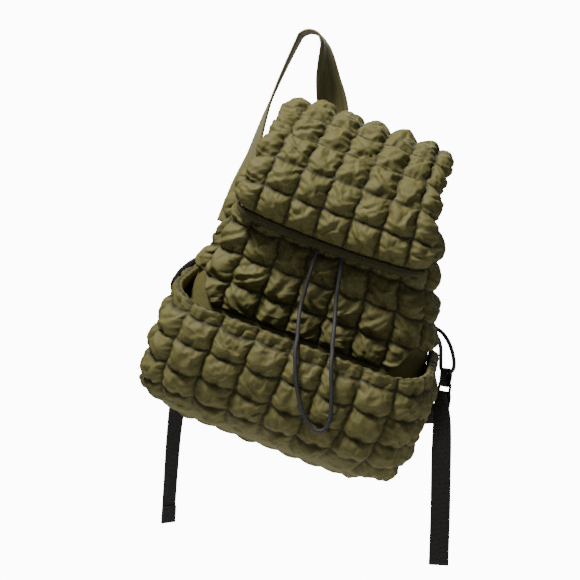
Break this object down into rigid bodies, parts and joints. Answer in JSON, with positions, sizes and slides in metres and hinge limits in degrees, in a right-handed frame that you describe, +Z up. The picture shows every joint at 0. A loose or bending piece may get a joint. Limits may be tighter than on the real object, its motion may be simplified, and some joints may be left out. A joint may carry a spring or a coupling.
{
  "type": "quilted puffer backpack",
  "caption": "Soft quilted backpack with a padded lid, a gathered mouth, an elastic-hemmed front pouch, two shoulder straps and webbing tails, hanging by its left strap.",
  "frame": {"origin": "where the left shoulder strap's inner face rests on the top of the peg it hangs from", "axes": "+Z up as it hangs, the quilted front faces -Y, +X is the viewer's right; the bag leans 20 degrees about Y, with its base to the viewer's left"},
  "size_m": [0.3924, 0.2436, 0.6799],
  "materials": {
    "quilted_nylon": "satin",
    "edge_binding": "matte",
    "strap_fabric": "satin",
    "elastic_cord": "matte",
    "webbing": "matte",
    "buckle_plastic": "satin"
  },
  "bodies": {
    "root": {"body_shell": "quilted_nylon", "front_pouch": "quilted_nylon", "lid_flap": "quilted_nylon", "lid_piping": "edge_binding", "strap_left": "strap_fabric", "strap_right": "strap_fabric", "drawcord": "elastic_cord", "side_cord_loop_left": "elastic_cord", "side_cord_loop_right": "elastic_cord", "loop_band_left": "webbing", "loop_band_right": "webbing", "strap_webbing_left": "webbing", "strap_webbing_right": "webbing", "ladder_lock_left": "buckle_plastic", "ladder_lock_right": "buckle_plastic"}
  },
  "joints": []
}
